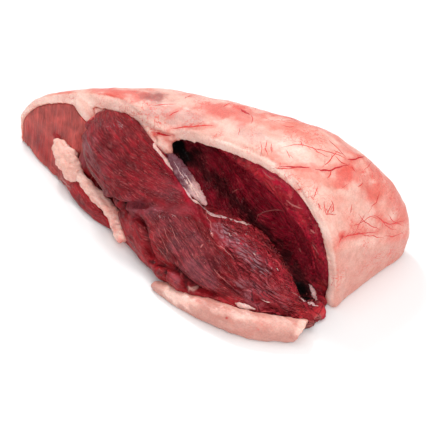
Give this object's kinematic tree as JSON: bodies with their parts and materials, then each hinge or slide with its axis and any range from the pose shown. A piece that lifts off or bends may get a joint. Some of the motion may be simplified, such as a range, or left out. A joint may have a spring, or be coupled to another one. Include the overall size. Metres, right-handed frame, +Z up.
{
  "type": "raw lamb chump",
  "caption": "Boned raw lamb chump lying on its cut underside, opened along the front, with a domed fat cap over dark lean, a bone pocket and trimmed fat at its foot",
  "frame": {"origin": "middle of the underside of the bounding box, on the surface that the joint lies on", "axes": "+X runs from the thin end to the thick end, +Y from the opened front to the back, +Z up"},
  "size_m": [0.1786, 0.0936, 0.0567],
  "materials": {
    "lean": "moist raw lean meat, dark red, with fine fibres",
    "fat_cap": "firm pale pink raw fat with red blotches and small vessels",
    "seam_fat": "soft pale pink raw fat",
    "base_flap": "firm cream and pink cut fat",
    "silverskin": "thin moist grey-white membrane"
  },
  "bodies": {
    "root": {"lean": "lean", "fat_cap": "fat_cap", "seam_fat": "seam_fat", "base_flap": "base_flap", "silverskin": "silverskin"}
  },
  "joints": []
}
